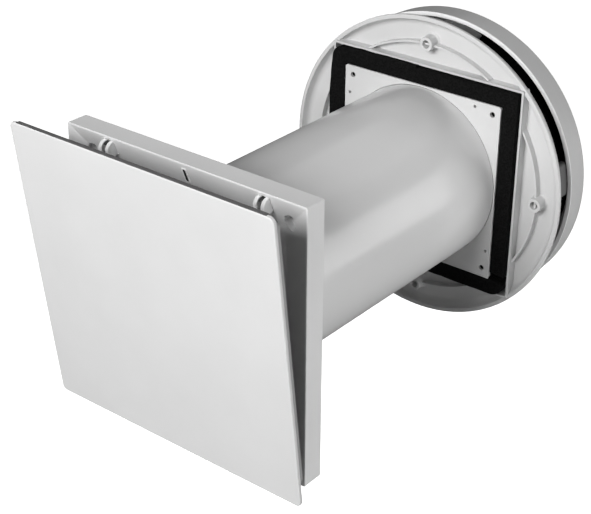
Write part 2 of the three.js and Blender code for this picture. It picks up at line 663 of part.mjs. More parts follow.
function hoodBase() {
  const wallInner = BASE_R - BASE_RIM_LAND;
  const pan = turned([
    [BASE_HOLE_R, BASE_FLOOR_Y], [wallInner - 2.5, BASE_FLOOR_Y], [wallInner, BASE_RIM_Y], [BASE_R, BASE_RIM_Y],
    [BASE_R, BASE_RIM_Y + BASE_RIM_THICK], [wallInner + 1.6, BASE_RIM_Y + BASE_RIM_THICK], [wallInner - 0.6, BASE_BACK],
    [BASE_HOLE_R, BASE_BACK],
  ]);
  const rib = prismY(roundedSquare(RIB_OUTER_HALF, 2), RIB_Y, BASE_FLOOR_Y + 1)
    .subtract(prismY(roundedSquare(RIB_INNER_HALF, 1), RIB_Y - 1, BASE_FLOOR_Y + 2));
  const arcs = ringY(ARC_RIB_R + 1, ARC_RIB_R - 1, ARC_RIB_Y, BASE_FLOOR_Y + 1)
    .subtract(prismY(roundedSquare(RIB_OUTER_HALF - 1, 1), RIB_Y, BASE_FLOOR_Y + 2));
  const bosses = [];
  const bores = [];
  for (const [x, z] of [[BOSS_AT, 0], [0, BOSS_AT], [-BOSS_AT, 0], [0, -BOSS_AT]]) {
    bosses.push(rodY(BOSS_R, BOSS_Y, BASE_FLOOR_Y + 1, { x, z, sides: 16 }));
    bores.push(rodY(BOSS_HOLE_R, BOSS_Y - 1, BASE_BACK + 1, { x, z, sides: 12 }));
  }
  const posts = [];
  for (let i = 0; i < POST_COUNT; i += 1) {
    posts.push(hoodPost(i));
    bores.push(rodY(1.5, HOOD_CEILING - 14, HOOD_CEILING + 1, { ...postCentre(i), sides: 12 }));
  }
  return cut(joined([pan, rib, arcs, ...bosses, ...posts]), bores);
}

function insectScreen() {
  const slots = 24;
  const low = BASE_BACK + GAP;
  const high = HOOD_CEILING - GAP;
  let ring = ringY(SCREEN_R, SCREEN_R - 1.5, low, high);
  const cutter = box([SCREEN_R - 4, low + 3, -12], [SCREEN_R + 3, high - 3, 12]);
  for (let i = 0; i < slots; i += 1) ring = ring.subtract(aroundY(cutter, ((i + 0.5) * 2 * Math.PI) / slots));
  return ring;
}

function hoodCover() {
  const nearInner = HOOD_NEAR_R - HOOD_WALL;
  const farInner = HOOD_FAR_R - HOOD_WALL;
  const rounding = [];
  for (let i = 0; i <= 3; i += 1) {
    const angle = (i / 3) * (Math.PI / 2);
    const r = HOOD_FAR_R - HOOD_EDGE_R + HOOD_EDGE_R * Math.cos(angle);
    rounding.push([r, HOOD_FAR_Y - HOOD_EDGE_R + HOOD_EDGE_R * Math.sin(angle)]);
  }
  const shell = turned([
    [0, HOOD_CEILING], [farInner, HOOD_CEILING], [nearInner, HOOD_NEAR_Y], [HOOD_NEAR_R, HOOD_NEAR_Y], ...rounding,
    [0, HOOD_FAR_Y],
  ]);
  const holes = [];
  for (let i = 0; i < POST_COUNT; i += 1) {
    holes.push(rodY(1.9, HOOD_CEILING - 1, HOOD_FAR_Y + 1, { ...postCentre(i), sides: 12 }));
    holes.push(rodY(3.6, HOOD_FAR_Y - 1.5, HOOD_FAR_Y + 1, { ...postCentre(i), sides: 12 }));
  }
  return cut(shell, holes);
}

function hoodScrew(index) {
  const centre = postCentre(index);
  const headFront = HOOD_FAR_Y - 1.5 + GAP;
  return joined([
    rodY(3.2, headFront, HOOD_FAR_Y - 0.2, { ...centre, sides: 12 }),
    rodY(1.2, HOOD_CEILING - 12, headFront + 0.1, { ...centre, sides: 12 }),
  ]);
}

addPart(unit, 'foam_gasket', gasket(), BLACK_FOAM);
addPart(unit, 'hood_base', hoodBase(), HOOD_WHITE);
addPart(unit, 'insect_screen', insectScreen(), BLACK_PLASTIC);
addPart(unit, 'hood_foam', rodY(SCREEN_R - 2, HOOD_CEILING - 12, HOOD_CEILING - GAP), BLACK_FOAM);
addPart(unit, 'hood_cover', hoodCover(), HOOD_WHITE);
for (let i = 0; i < POST_COUNT; i += 1) addPart(unit, `hood_screw_${i + 1}`, hoodScrew(i), STEEL);

export default unit;
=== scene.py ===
"""Looks of the through-wall ventilation unit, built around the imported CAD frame. Shapes are in millimetres here and
are turned to metres when a mesh is made. The frame is the CAD's: +Y outdoors, +Z up, origin on the tube's axis."""

import json
import math

import bmesh
import bpy
from mathutils import Matrix, Vector


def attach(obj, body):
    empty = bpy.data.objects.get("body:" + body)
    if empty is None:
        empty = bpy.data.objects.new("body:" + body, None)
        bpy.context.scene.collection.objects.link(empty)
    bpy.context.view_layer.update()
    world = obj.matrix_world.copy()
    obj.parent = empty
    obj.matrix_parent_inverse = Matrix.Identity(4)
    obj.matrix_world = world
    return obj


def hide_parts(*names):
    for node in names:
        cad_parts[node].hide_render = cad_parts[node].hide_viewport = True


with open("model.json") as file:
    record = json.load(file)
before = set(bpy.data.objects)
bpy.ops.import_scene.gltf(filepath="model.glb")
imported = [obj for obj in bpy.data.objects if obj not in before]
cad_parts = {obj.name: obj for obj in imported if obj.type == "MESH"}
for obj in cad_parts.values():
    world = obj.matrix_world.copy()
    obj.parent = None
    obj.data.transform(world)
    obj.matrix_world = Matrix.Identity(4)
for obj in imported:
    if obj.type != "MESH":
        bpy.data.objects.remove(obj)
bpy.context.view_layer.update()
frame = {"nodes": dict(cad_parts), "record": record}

MM = 0.001
TILT = math.radians(7)  # the cover's lean into the room at rest
HINGE = Vector((0, -25, -101))
COVER_PLACE = Matrix.Translation(HINGE * MM) @ Matrix.Rotation(TILT, 4, "X")

# ---------------------------------------------------------------- camera, light and floor

CAMERA_PLACE = (0.65678, -0.70791, 0.55096)  # metres
CAMERA_ANGLES = (38.62, -28.44, 0.37)  # yaw to the left, pitch and roll, in degrees
SENSOR_WIDTH, LENS = 36, 89.33  # millimetres
TUBE_MIDDLE = Vector((0, 0.12, 0))  # metres; the lights face it


def make_camera():
    yaw, pitch, roll = (math.radians(angle) for angle in CAMERA_ANGLES)
    forward = Vector((-math.sin(yaw) * math.cos(pitch), math.cos(yaw) * math.cos(pitch), math.sin(pitch)))
    level = Vector((math.cos(yaw), math.sin(yaw), 0))
    upright = level.cross(forward)
    right = level * math.cos(roll) + upright * math.sin(roll)
    up = upright * math.cos(roll) - level * math.sin(roll)
    data = bpy.data.cameras.new("camera")
    data.sensor_fit = "HORIZONTAL"
    data.sensor_width = SENSOR_WIDTH
    data.lens = LENS
    data.shift_x = -0.0021
    data.shift_y = 0.0047
    data.clip_end = 50
    camera = bpy.data.objects.new("camera", data)
    turn = Matrix((right, up, -forward)).transposed().to_4x4()
    camera.matrix_world = Matrix.Translation(CAMERA_PLACE) @ turn
    bpy.context.scene.collection.objects.link(camera)
    bpy.context.scene.camera = camera


def area_light(name, azimuth, elevation, distance, size, power):
    """A soft panel that faces the tube's middle. Azimuth 0 is on the room side, and 90 is to the right of it."""
    data = bpy.data.lights.new(name, "AREA")
    data.shape = "RECTANGLE"
    data.size, data.size_y = size
    data.energy = power
    light = bpy.data.objects.new(name, data)
    turn, rise = math.radians(azimuth), math.radians(elevation)
    away = Vector((math.sin(turn) * math.cos(rise), -math.cos(turn) * math.cos(rise), math.sin(rise)))
    place = Matrix.Translation(TUBE_MIDDLE + away * distance)
    light.matrix_world = place @ away.to_track_quat("Z", "Y").to_matrix().to_4x4()
    bpy.context.scene.collection.objects.link(light)
    return light


def make_lights():
    world = bpy.data.worlds.new("studio")
    bpy.context.scene.world = world
    world.use_nodes = True
    background = world.node_tree.nodes["Background"]
    background.inputs["Color"].default_value = (1, 1, 1, 1)
    background.inputs["Strength"].default_value = 0.025

    area_light("key", 0, 28, 2.0, (0.9, 0.9), 52)
    area_light("low_bounce", 95, -22, 1.5, (1.9, 0.7), 11.5)
    area_light("back_right", 126, 4, 2.0, (1.2, 1.0), 11.5)
    area_light("back_top", 180, 38, 2.0, (1.5, 1.0), 3.6)
    fill = area_light("back_left", -118, -4, 2.0, (1.6, 1.0), 8)
    # It fills the far side without a streak along the tube's outline.
    fill.visible_glossy = False
    area_light("side", 62, 20, 1.0, (0.5, 0.5), 0.45)
    area_light("low_front", 28, -22, 1.2, (0.6, 0.6), 0.9)
    # Plain sRGB display, so that the white floor comes out white.
    bpy.context.scene.view_settings.view_transform = "Standard"


def make_stage():
    """A white floor that sweeps up into a wall all round. It is seen, but it throws no light on the object."""
    floor_z, reach, sweep, height = -1.0, 9.0, 3.0, 9.0
    profile = [(0.01, floor_z), (reach - sweep, floor_z)]
    for k in range(1, 13):
        turn = math.pi / 2 * k / 12
        profile.append((reach - sweep + sweep * math.sin(turn), floor_z + sweep * (1 - math.cos(turn))))
    profile += [(reach, height - 4), (reach * 0.7, height), (0.01, height + 1)]
    around = 64
    points = []
    for r, z in profile:
        for k in range(around):
            turn = math.tau * k / around
            points.append((r * math.cos(turn), r * math.sin(turn), z))
    faces = []
    for ring in range(len(profile) - 1):
        for k in range(around):
            following = (k + 1) % around
            low, high = ring * around, (ring + 1) * around
            faces.append((low + k, low + following, high + following, high + k))
    mesh = bpy.data.meshes.new("floor")
    mesh.from_pydata(points, [], faces)
    floor = bpy.data.objects.new("floor", mesh)
    floor.visible_diffuse = False
    floor.visible_glossy = False
    floor.visible_transmission = False
    floor.visible_shadow = False
    bpy.context.scene.collection.objects.link(floor)
    floor.data.materials.append(floor_material())


# ---------------------------------------------------------------- materials


class Nodes:
    """A small builder for one procedural material."""

    def __init__(self, name):
        self.material = bpy.data.materials.new(name)
        self.material.use_nodes = True
        self.tree = self.material.node_tree
        self.shader = self.tree.nodes["Principled BSDF"]
        self.place = self.tree.nodes.new("ShaderNodeTexCoord").outputs["Object"]

    def add(self, kind, inputs=None, **settings):
        node = self.tree.nodes.new("ShaderNode" + kind)
        for key, value in settings.items():
            setattr(node, key, value)
        for key, value in (inputs or {}).items():
            if isinstance(value, bpy.types.NodeSocket):
                self.tree.links.new(value, node.inputs[key])
            else:
                node.inputs[key].default_value = value
        return node

    def noise(self, scale, detail=3.0, roughness=0.5, at=None):
        inputs = {"Vector": at or self.place, "Scale": scale, "Detail": detail, "Roughness": roughness}
        return self.add("TexNoise", inputs).outputs["Fac"]

    def stretched(self, scale):
        return self.add("Mapping", {"Vector": self.place, "Scale": scale}).outputs["Vector"]

    def range(self, value, low, high, from_low=0.0, from_high=1.0):
        inputs = {0: value, 1: from_low, 2: from_high, 3: low, 4: high}
        return self.add("MapRange", inputs).outputs[0]

    def mix(self, share, a, b):
        node = self.add("Mix", data_type="RGBA")
        for index, value in ((0, share), (6, a), (7, b)):
            if isinstance(value, bpy.types.NodeSocket):
                self.tree.links.new(value, node.inputs[index])
            else:
                node.inputs[index].default_value = value
        return node.outputs[2]

    def bump(self, height, depth, normal=None):
        inputs = {"Height": height, "Strength": 1.0, "Distance": depth}
        if normal is not None:
            inputs["Normal"] = normal
        return self.add("Bump", inputs).outputs["Normal"]

    def finish(self, colour, roughness, normal=None, **fixed):
        for socket, value in (("Base Color", colour), ("Roughness", roughness), ("Normal", normal)):
            if value is not None:
                self.tree.links.new(value, self.shader.inputs[socket])
        for key, value in fixed.items():
            self.shader.inputs[key.replace("_", " ")].default_value = value
        return self.material


def grey(value):
    return (value, value, value, 1)


def moulded(name, light, rough, grain=0.00002, grain_scale=1400, **fixed):
    """Injection-moulded plastic: faint flow clouds in the colour, fine spark-eroded grain in the surface."""
    n = Nodes(name)
    clouds = n.noise(14, 4, 0.55)
    specks = n.noise(900, 2, 0.6)
    tone = n.mix(n.range(clouds, 0, 1, 0.3, 0.7), grey(light * 0.975), grey(min(1, light * 1.02)))
    colour = n.mix(n.range(specks, 0, 0.12, 0.55, 0.8), tone, grey(light * 0.8))
    roughness = n.range(n.noise(60, 5, 0.6), rough - 0.05, rough + 0.06, 0.3, 0.7)
    normal = n.bump(n.noise(grain_scale, 3, 0.6), grain, n.bump(n.noise(22, 2, 0.5), 0.00006))
    return n.finish(colour, roughness, normal, **fixed)


def extruded_tube(name, light, rough):
    """Extruded pipe: faint lines along the pipe, smooth and a little glossy."""
    n = Nodes(name)
    lines = n.noise(1, 5, 0.65, n.stretched((260, 2.5, 260)))
    clouds = n.noise(9, 3, 0.5)
    colour = n.mix(n.range(clouds, 0, 1, 0.3, 0.7), grey(light * 0.975), grey(light * 1.015))
    roughness = n.range(lines, rough - 0.01, rough + 0.015, 0.3, 0.7)
    normal = n.bump(lines, 0.0000012, n.bump(n.noise(12, 1, 0.5), 0.00005))
    return n.finish(colour, roughness, normal, IOR=1.5)


def foam(name, light):
    """Open-cell foam: pores of two sizes, matt. The pores' hollow middles are darker, painted shade."""
    pore_scale, depth = 700, 0.0004
    n = Nodes(name)
    pores = n.add("TexVoronoi", {"Vector": n.place, "Scale": pore_scale, "Randomness": 1.0}).outputs["Distance"]
    fine = n.noise(pore_scale * 2.3, 3, 0.7)
    colour = n.mix(n.range(pores, 0, 1, 0.1, 0.7), grey(light * 0.45), grey(light * 1.35))
    normal = n.bump(pores, depth, n.bump(fine, depth * 0.4))
    return n.finish(colour, n.range(fine, 0.88, 1.0), normal, IOR=1.3, Specular_IOR_Level=0.06)


def rubber(name, light):
    n = Nodes(name)
    clouds = n.noise(120, 4, 0.6)
    colour = n.mix(clouds, grey(light * 0.8), grey(light * 1.3))
    return n.finish(colour, n.range(clouds, 0.5, 0.72), n.bump(n.noise(2200, 2, 0.5), 0.00003), IOR=1.45)


def fleece(name, light):
    """Non-woven filter fleece: crossed fibres."""
    n = Nodes(name)
    one = n.noise(1, 4, 0.7, n.stretched((900, 300, 90)))
    two = n.noise(1, 4, 0.7, n.stretched((90, 300, 900)))
    fibres = n.add("Math", {0: one, 1: two}, operation="ADD").outputs[0]
    colour = n.mix(n.range(fibres, 0, 1, 0.7, 1.3), grey(light * 0.7), grey(light * 1.1))
    return n.finish(colour, n.range(one, 0.9, 1.0), n.bump(fibres, 0.0005), Sheen_Weight=0.3, Sheen_Roughness=0.5)


def ceramic(name):
    n = Nodes(name)
    specks = n.noise(500, 4, 0.7)
    clouds = n.noise(30, 4, 0.6)
    base = n.mix(clouds, (0.56, 0.49, 0.39, 1), (0.66, 0.59, 0.49, 1))
    colour = n.mix(n.range(specks, 0, 0.5, 0.6, 0.8), base, (0.3, 0.24, 0.18, 1))
    return n.finish(colour, n.range(specks, 0.75, 0.95), n.bump(specks, 0.00012), IOR=1.5)


def bead_foam(name, light):
    """Expanded bead foam: pressed beads with fine seams between them."""
    n = Nodes(name)
    beads = n.add("TexVoronoi", {"Vector": n.place, "Scale": 260.0}, feature="DISTANCE_TO_EDGE").outputs["Distance"]
    tint = n.add("TexVoronoi", {"Vector": n.place, "Scale": 260.0}).outputs["Color"]
    shade = n.add("RGBToBW", {"Color": tint}).outputs[0]
    colour = n.mix(shade, grey(light * 0.75), grey(light * 1.3))
    return n.finish(colour, n.range(shade, 0.7, 0.85), n.bump(n.range(beads, 0, 1, 0, 0.12), 0.0003), IOR=1.4)


def metal(name, colour, rough, along=(40, 900, 40)):
    """Drawn or turned metal: fine lines one way, and a few faint stains."""
    n = Nodes(name)
    lines = n.noise(1, 5, 0.7, n.stretched(along))
    stains = n.noise(70, 4, 0.6)
    dark = tuple(c * 0.72 for c in colour) + (1,)
    tone = n.mix(n.range(stains, 0, 0.5, 0.5, 0.75), colour + (1,), dark)
    return n.finish(tone, n.range(lines, rough - 0.08, rough + 0.12), n.bump(lines, 0.00003), Metallic=1.0)


def winding(name):
    """Enamelled copper wire, wound in tight turns, darker in the grooves between turns as painted shade."""
    n = Nodes(name)
    turns = n.add("TexWave", {"Vector": n.place, "Scale": 320.0, "Distortion": 1.5, "Detail": 2.0},
                  wave_type="BANDS", bands_direction="Y").outputs["Fac"]
    colour = n.mix(turns, (0.25, 0.08, 0.03, 1), (0.72, 0.32, 0.14, 1))
    return n.finish(colour, n.range(turns, 0.5, 0.25), n.bump(turns, 0.0003), Metallic=0.9)


def board(name):
    """Lacquered circuit board: paler copper tracks under green lacquer, and round pads."""
    n = Nodes(name)
    tracks = n.add("TexBrick", {"Vector": n.place, "Scale": 90.0, "Mortar Size": 0.03,
                                "Color1": grey(0.0), "Color2": grey(0.15), "Mortar": grey(1.0)}).outputs["Fac"]
    pads = n.add("TexVoronoi", {"Vector": n.place, "Scale": 320.0}).outputs["Distance"]
    lacquer = n.mix(tracks, (0.015, 0.1, 0.035, 1), (0.05, 0.22, 0.09, 1))
    colour = n.mix(n.range(pads, 1, 0, 0.12, 0.16), lacquer, (0.6, 0.6, 0.55, 1))
    return n.finish(colour, n.range(pads, 0.25, 0.4), n.bump(tracks, 0.00005), IOR=1.5)


def floor_material():
    """White backdrop, bright by itself."""
    n = Nodes("backdrop_paper")
    cloud = n.noise(3, 2, 0.5)
    colour = n.mix(cloud, grey(0.93), grey(0.95))
    n.finish(colour, n.range(cloud, 0.9, 1.0), n.bump(n.noise(500, 2, 0.5), 0.00005), Specular_IOR_Level=0.0)
    n.tree.links.new(colour, n.shader.inputs["Emission Color"])
    n.shader.inputs["Emission Strength"].default_value = 1.1
    return n.material


MATERIALS = {
    "frame_white": moulded("frame_white", 0.75, 0.42, IOR=1.49),
    "cover_white": moulded("cover_white", 0.62, 0.42, IOR=1.49),
    "light_grey": moulded("light_grey", 0.3, 0.48, IOR=1.49),
    "tube_white": extruded_tube("tube_white", 0.74, 0.22),
    "hood_white": moulded("hood_white", 0.58, 0.36, IOR=1.49),
    "black_plastic": moulded("black_plastic", 0.02, 0.5, 0.00004, 1100, IOR=1.49),
    "black_rubber": rubber("black_rubber", 0.03),
    "black_mesh": moulded("black_mesh", 0.006, 0.9, Specular_IOR_Level=0.05),
    # catch_white is a brighter copy of the white plastic, a painted highlight: the catches' cheeks, the window bezel
    # and the hood cover's rim face get it to look as bright as their lit edges.
    "catch_white": moulded("catch_white", 0.88, 0.4, IOR=1.49),
    "dark_grey": rubber("dark_grey", 0.1),
    "black_foam": foam("black_foam", 0.006),
    "fleece": fleece("fleece", 0.62),
    "insulation": bead_foam("insulation", 0.05),
    "ceramic": ceramic("ceramic"),
    "magnet": metal("magnet", (0.09, 0.09, 0.095), 0.45, (500, 500, 500)),
    "copper": winding("copper"),
    "steel": metal("steel", (0.62, 0.62, 0.63), 0.3),
    "board": board("board"),
}

# ---------------------------------------------------------------- mesh helpers


def rounded(points, radius, steps=4, closed=True):
    """A polyline of 2-D points with its corners rounded. radius is one number, or one for each point."""
    count = len(points)
    radii = radius if isinstance(radius, (list, tuple)) else [radius] * count
    made = []
    for i, corner in enumerate(points):
        if not closed and i in (0, count - 1) or radii[i] <= 0:
            made.append(tuple(corner))
            continue
        here = Vector(corner)
        before = Vector(points[i - 1]) - here
        after = Vector(points[(i + 1) % count]) - here
        half = before.angle(after, math.pi) / 2
        if half > math.pi / 2 - 0.01:
            made.append(tuple(corner))
            continue
        reach = min(radii[i] / math.tan(half), before.length * 0.49, after.length * 0.49)
        r = reach * math.tan(half)
        middle = here + (before.normalized() + after.normalized()).normalized() * (r / math.sin(half))
        start = here + before.normalized() * reach - middle
        end = here + after.normalized() * reach - middle
        turn = start.angle_signed(end, 0)
        for k in range(steps + 1):
            arm = start.copy()
            arm.rotate(Matrix.Rotation(-turn * k / steps, 2))
            made.append(tuple(middle + arm))
    return made


SHARP_ANGLE = 28  # degrees; shading stops at steeper edges


def finish_mesh(name, bm, sharp=SHARP_ANGLE):
    """Turns a mesh in millimetres into an object, with smooth shading that stops at sharp edges."""
    bmesh.ops.remove_doubles(bm, verts=bm.verts, dist=0.0005)
    bmesh.ops.recalc_face_normals(bm, faces=bm.faces)
    bmesh.ops.scale(bm, vec=(MM, MM, MM), verts=bm.verts)
    for face in bm.faces:
        face.smooth = True
    mesh = bpy.data.meshes.new(name)
    bm.to_mesh(mesh)
    bm.free()
    mesh.set_sharp_from_angle(angle=math.radians(sharp))
    made = bpy.data.objects.new(name + "_detail" if name in frame["nodes"] else name, mesh)
    bpy.context.scene.collection.objects.link(made)
    return made


def loft(bm, rings, closed=True):
    """Skins a list of rings with equal point counts. An open loft is capped at both ends."""
    rows = [[bm.verts.new(p) for p in ring] for ring in rings]
    pairs = list(zip(rows, rows[1:] + ([rows[0]] if closed else [])))
    for low, high in pairs:
        for i in range(len(low)):
            j = (i + 1) % len(low)
            bm.faces.new((low[i], low[j], high[j], high[i]))
    if not closed:
        bm.faces.new(rows[0])
        bm.faces.new(rows[-1])


def circle(radius, y, count=144, x=0.0, z=0.0):
    step = 2 * math.pi / count
    return [(x + radius * math.cos(step * i), y, z + radius * math.sin(step * i)) for i in range(count)]


def box_ring(x0, z0, x1, z1, y, radius, side=24, corner=6):
    """A rounded rectangle in the X-Z plane, the same point count whatever its radius. radius may be four numbers,
    for the lower right, upper right, upper left and lower left corner."""
    radii = radius if isinstance(radius, (list, tuple)) else [radius] * 4
    signs = ((1, -1), (1, 1), (-1, 1), (-1, -1))
    arcs = []
    for quarter, ((sx, sz), r) in enumerate(zip(signs, radii)):
        r = max(r, 0.02)
        cx = (x1 if sx > 0 else x0) - sx * r
        cz = (z1 if sz > 0 else z0) - sz * r
        angles = [math.radians(90 * (quarter - 1) + 90 * k / corner) for k in range(corner + 1)]
        arcs.append([(cx + r * math.cos(a), cz + r * math.sin(a)) for a in angles])
    made = []
    for arc, following in zip(arcs, arcs[1:] + arcs[:1]):
        made += [(x, y, z) for x, z in arc]
        (xa, za), (xb, zb) = arc[-1], following[0]
        made += [(xa + (xb - xa) * k / side, y, za + (zb - za) * k / side) for k in range(1, side)]
    return made


def square(half, y, radius):
    return box_ring(-half, -half, half, half, y, radius)


def square_to_circle(half, y, radius, corner_radius):
    """The ring of a circle whose points line up with those of a rounded square."""
    made = []
    for x, _, z in square(half, y, corner_radius):
        length = math.hypot(x, z)
        made.append((radius * x / length, y, radius * z / length))
    return made


def lathe(bm, profile, count=144, x=0.0, z=0.0, closed=True):
    """A body of revolution round Y. A profile that starts and ends near the axis is given with closed=False."""
    loft(bm, [circle(max(r, 0.01), y, count, x, z) for r, y in profile], closed)


def outline_to_bmesh(bm, outline, depth0, depth1, holes=(), bevel=0.3, steps=2, plane="XZ"):
    """Extrudes an outline with holes between two depths, with rounded edges, and adds it to bm."""
    data = bpy.data.curves.new("outline", "CURVE")
    data.dimensions = "2D"
    data.fill_mode = "BOTH"
    bevel = min(bevel, (depth1 - depth0) * 0.45)
    data.extrude = (depth1 - depth0) / 2 - bevel
    data.bevel_depth = bevel
    data.bevel_resolution = steps
    data.offset = -bevel
    for loop in (outline, *holes):
        spline = data.splines.new("POLY")
        spline.points.add(len(loop) - 1)
        for point, (u, v) in zip(spline.points, loop):
            point.co = (u, v, 0, 1)
        spline.use_cyclic_u = True
    carrier = bpy.data.objects.new("outline", data)
    bpy.context.scene.collection.objects.link(carrier)
    bpy.context.view_layer.update()
    mesh = bpy.data.meshes.new_from_object(carrier)
    middle = (depth0 + depth1) / 2
    for vertex in mesh.vertices:
        u, v, w = vertex.co
        vertex.co = (u, middle + w, v) if plane == "XZ" else (middle + w, u, v)
    bm.from_mesh(mesh)
    bpy.data.objects.remove(carrier)
    bpy.data.curves.remove(data)
    bpy.data.meshes.remove(mesh)


def ring_2d(radius, count=24, x=0.0, z=0.0):
    step = 2 * math.pi / count
    return [(x + radius * math.cos(step * i), z + radius * math.sin(step * i)) for i in range(count)]


def rectangle(x0, z0, x1, z1, radius=0.0, steps=6):
    corners = [(x0, z0), (x1, z0), (x1, z1), (x0, z1)]
    return rounded(corners, radius, steps) if radius else corners


def cut(piece, tool):
    """Takes the tool object's volume away from piece and removes the tool."""
    modifier = piece.modifiers.new("cut", "BOOLEAN")
    modifier.operation = "DIFFERENCE"
    modifier.solver = "EXACT"
    modifier.object = tool
    bpy.context.view_layer.update()
    graph = bpy.context.evaluated_depsgraph_get()
    mesh = bpy.data.meshes.new_from_object(piece.evaluated_get(graph))
    piece.modifiers.clear()
    old = piece.data
    piece.data = mesh
    bpy.data.meshes.remove(old)
    bpy.data.objects.remove(tool)
    piece.data.set_sharp_from_angle(angle=math.radians(SHARP_ANGLE))


def dress(piece, body, slot, *nodes, weighted=True):
    """Gives a finished piece its material and body, and lets it stand for CAD nodes."""
    piece.data.materials.clear()
    piece.data.materials.append(MATERIALS[slot])
    if weighted:
        modifier = piece.modifiers.new("face_normals", "WEIGHTED_NORMAL")
        modifier.keep_sharp = True
    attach(piece, body)
    if nodes:
        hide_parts(*nodes)
    return piece


def place_on_cover(piece):
    piece.data.transform(COVER_PLACE)
    return piece


# ---------------------------------------------------------------- room frame

FRAME_HALF = 115.5
FRAME_FRONT = -19.0
DISH_FLOOR = -9.5
DISH_RIM = 114.2
DISH_FLOOR_HALF = 90.0
CORNER_R = 1.2
UPPER_SHIFT = 1.2  # the window and the catches on the upper slope stand this far right of the centre
CLIP_X = 74.8  # catches and hinges from the centre line
CATCH_Y, CATCH_Z, CATCH_R = -17.5, 105.5, 6.2
SPRING_R, SPRING_INNER_R = 5.6, 3.6
WINDOW_AT = 104.1
POCKET_AT, POCKET_R = 95.4, 6.2  # a screw pocket's distance from each centre line, and its radius


def dish_y(half):
    """The depth of the frame's sloping inside, at this distance from the centre line."""
    return FRAME_FRONT + (DISH_RIM - half) / (DISH_RIM - DISH_FLOOR_HALF) * (DISH_FLOOR - FRAME_FRONT)


def make_room_frame():
    edge = 0.3
    slope_outer, slope_inner, slope_steps = 114.0, 91.2, 8
    bm = bmesh.new()
    # The outer side, and the rounded edge of the narrow front lip.
    rings = [square(FRAME_HALF, y, CORNER_R) for y in (-0.5, -4, FRAME_FRONT + edge)]
    for k in range(1, 5):
        angle = math.pi / 2 * k / 4
        half, y = FRAME_HALF - edge + edge * math.cos(angle), FRAME_FRONT + edge - edge * math.sin(angle)
        rings.append(square(half, y, CORNER_R - 0.1))
    rings += [square(114.3, FRAME_FRONT, 0.9), square(114.15, -18.96, 0.8), square(slope_outer, -18.88, 0.7)]
    # The dish: its slope, its floor, and the short collar that goes into the tube.
    for k in range(1, slope_steps + 1):
        half = slope_outer - (slope_outer - slope_inner) * k / slope_steps
        sag = 0.35 * math.sin(math.pi * k / slope_steps)
        rings.append(square(half, dish_y(half) + sag, 0.7))
    rings += [square(90.2, -9.75, 1.2), square(89.2, -9.53, 1.5), square(88, DISH_FLOOR, 2)]
    rings += [square_to_circle(88, DISH_FLOOR, r, 2) for r in (76.6, 75.6)]
    rings += [square_to_circle(88, y, r, 2) for r, y in ((74.6, -9.35), (74.45, -9.0), (74.4, -8.0), (74.4, 13.6))]
    # Back out along the collar, behind the dish, and down to the wall.
    rings += [square_to_circle(88, y, r, 2) for r, y in ((75.0, 13.9), (76.0, 13.9), (76.4, 13.5), (76.4, -7.1))]
    rings += [square(88, -7.1, 2), square(90.6, -7.1, 1.5)]
    rings += [square(110, dish_y(110) + 2.4, 1), square(112.8, dish_y(112.8) + 2.6, 1)]
    rings += [square(113.3, -15, 1.2), square(113.3, -0.3, 1.2), square(113.6, 0, 1.2), square(115.1, 0, 1.1)]
    loft(bm, rings)
    shell = finish_mesh("room_frame_shell", bm)

    tools = bmesh.new()
    for sx in (-1, 1):
        for sz in (-1, 1):
            bore = [(0.01, -30), (POCKET_R, -30), (POCKET_R, -4.2), (0.01, -4.2)]
            lathe(tools, bore, 40, sx * POCKET_AT, sz * POCKET_AT, False)
        x, opening = UPPER_SHIFT + sx * CLIP_X, 5.4
        catch = rectangle(x - opening, CATCH_Z - 7, x + opening, CATCH_Z + 6.5, 0.4, 3)
        outline_to_bmesh(tools, catch, -24, -5, bevel=0.05)
        x = sx * CLIP_X
        outline_to_bmesh(tools, rectangle(x - opening, -106, x + opening, -96, 0.8, 3), -30, -5, bevel=0.05)
    cut(shell, finish_mesh("cutter", tools))
    dress(shell, "unit", "frame_white", "room_frame")


def make_frame_details():
    """The pillars behind the screw pockets."""
    bm = bmesh.new()
    for sx in (-1, 1):
        for sz in (-1, 1):
            x, z = sx * POCKET_AT, sz * POCKET_AT
            top = dish_y(POCKET_AT) + 1.0
            inner, outer = POCKET_R - 0.05, POCKET_R + 2.2
            wall = [(inner, top + 1.6), (outer, top + 1.6), (outer, -0.4), (outer - 0.3, 0),
                    (2.6, 0), (2.3, -0.4), (2.3, -4), (inner, -4)]
            lathe(bm, wall, 40, x, z)
    dress(finish_mesh("room_frame_pillars", bm), "unit", "frame_white")


def headed(y, z, radius, foot, wide, steps=22):
    """A round head on a straight leg that reaches to foot, in the Y-Z plane."""
    way = 1 if foot > y else -1
    start = math.asin(wide / radius)
    points = []
    for k in range(steps + 1):
        angle = start + (2 * math.pi - 2 * start) * k / steps
        points.append((y + way * radius * math.cos(angle), z + radius * math.sin(angle)))
    return points + [(foot, z - wide), (foot, z + wide)]


def make_cheek_pair(name, x, y, z, radius, hole=0.0):
    """Two round cheeks on a common foot, with a slot between them. Their brighter catch_white finish is a painted
    highlight on their lit rims.
    """
    bm = bmesh.new()
    wide = radius * 0.68
    for middle in (x - 3.5, x + 3.5):
        holes = [ring_2d(hole, 20, y, z)] if hole else []
        outline_to_bmesh(bm, headed(y, z, radius, -6.5, wide), middle - 1.6, middle + 1.6, holes, 0.5, 3, "YZ")
    outline_to_bmesh(bm, rectangle(-8.8, z - wide, -6.4, z + wide), x - 5.1, x + 5.1, bevel=0.2, plane="YZ")
    dress(finish_mesh(name, bm, 32), "unit", "catch_white", name)


def spring_outline():
    """A ring in the Y-Z plane, open towards the room, with rounded ends."""
    outer = math.asin(SPRING_INNER_R / SPRING_R)
    points = []
    for radius, start, end in ((SPRING_R, math.pi - outer, outer - math.pi), (SPRING_INNER_R, -1.9, 1.9)):
        for k in range(33):
            turn = start + (end - start) * k / 32
            points.append((CATCH_Y + radius * math.cos(turn), CATCH_Z + radius * math.sin(turn)))
    return points


